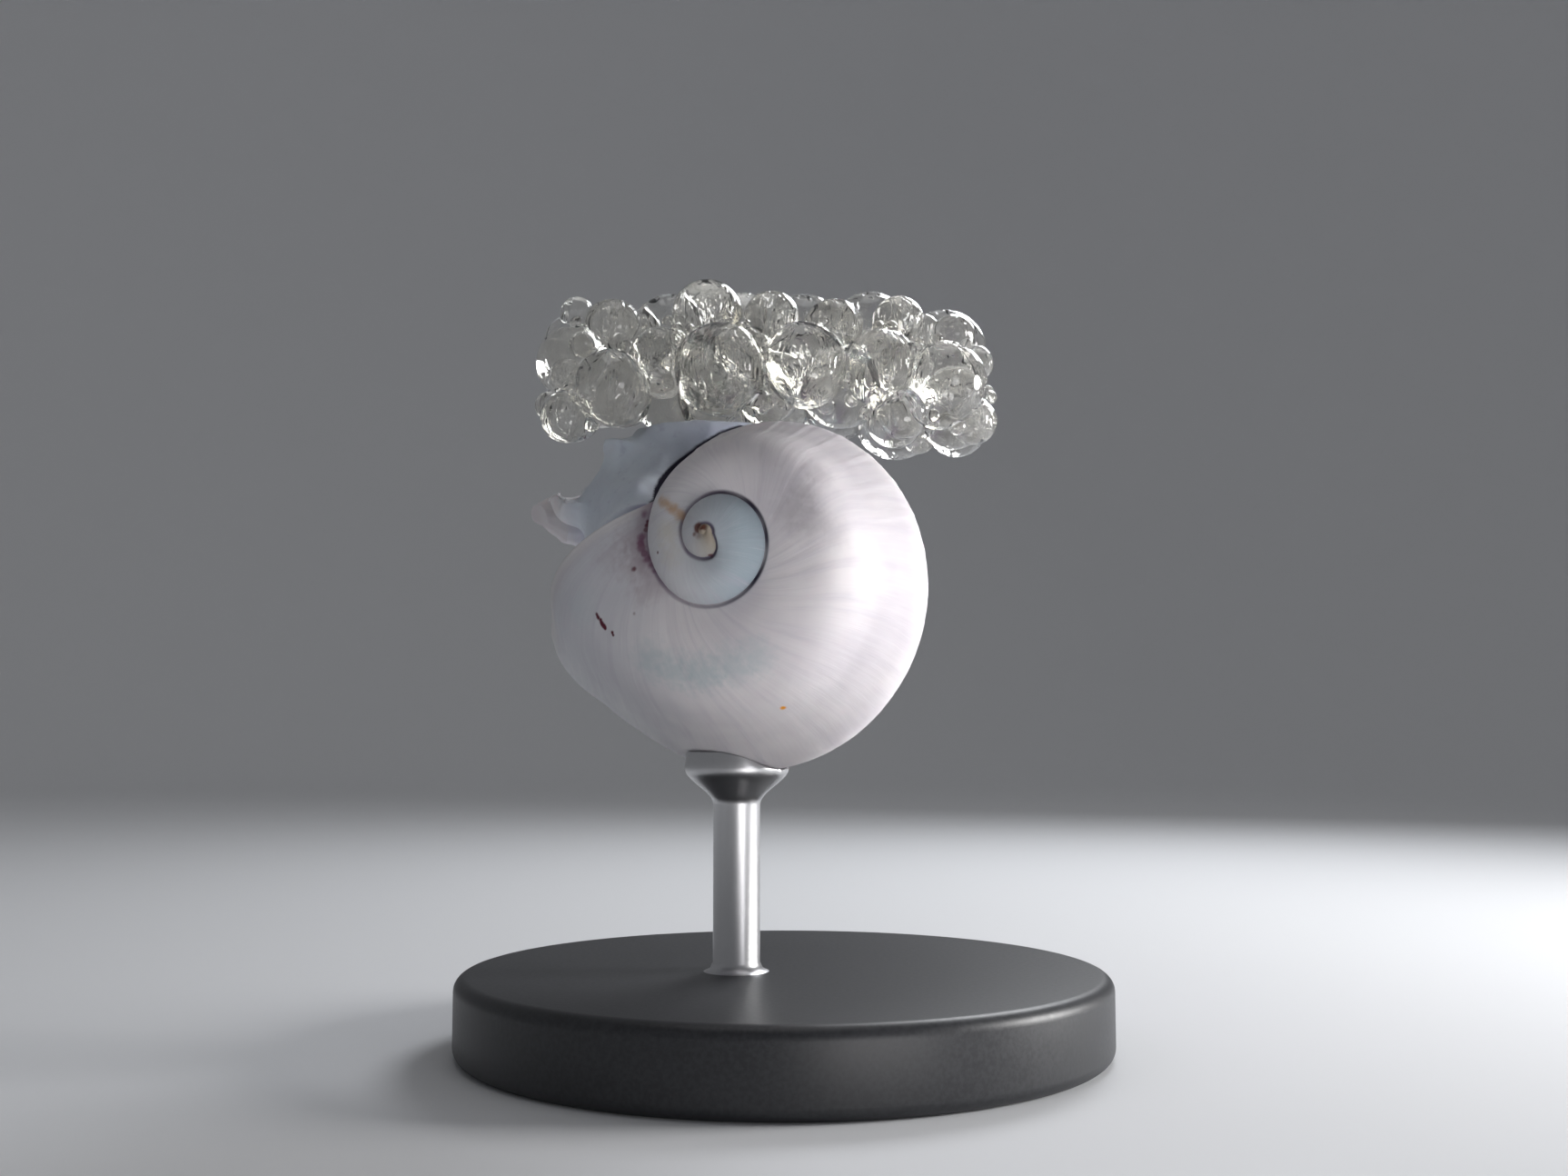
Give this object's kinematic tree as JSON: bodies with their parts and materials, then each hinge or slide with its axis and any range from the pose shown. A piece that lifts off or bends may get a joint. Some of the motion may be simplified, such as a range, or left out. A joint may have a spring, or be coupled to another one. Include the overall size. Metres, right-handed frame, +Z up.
{
  "type": "violet snail",
  "caption": "A life-size violet snail hanging from its raft of clear bubbles: pale rosy-white spiral shell, grey-lilac foot and head, on a small display stand",
  "frame": {"origin": "Centre of the flat underside of the stand's base, on the surface that the stand rests on", "axes": "+Z up, +X to the right as in the picture, +Y away from the picture's viewer, so the spire points towards -Y"},
  "size_m": [0.025, 0.025, 0.0303],
  "materials": {
    "shell": "Pale rosy-white shell with a soft satin sheen, fine growth lines and a dark line in the suture; violet below",
    "flesh": "Wet, slightly see-through grey-lilac flesh",
    "bubble_film": "Clear dried mucus film round air bubbles, glossy with bright glints",
    "stand_base": "Plain satin black",
    "stand_rod": "Fine brushed steel"
  },
  "bodies": {
    "root": {"shell": "shell", "mantle": "flesh", "foot": "flesh", "head": "flesh", "snout": "flesh", "tentacle_left": "flesh", "tentacle_right": "flesh", "propodium": "flesh", "epipodium_left": "flesh", "epipodium_right": "flesh", "raft_on_foot": "bubble_film", "raft_middle": "bubble_film", "raft_old_end": "bubble_film", "stand_base": "stand_base", "stand_rod": "stand_rod"}
  },
  "joints": []
}
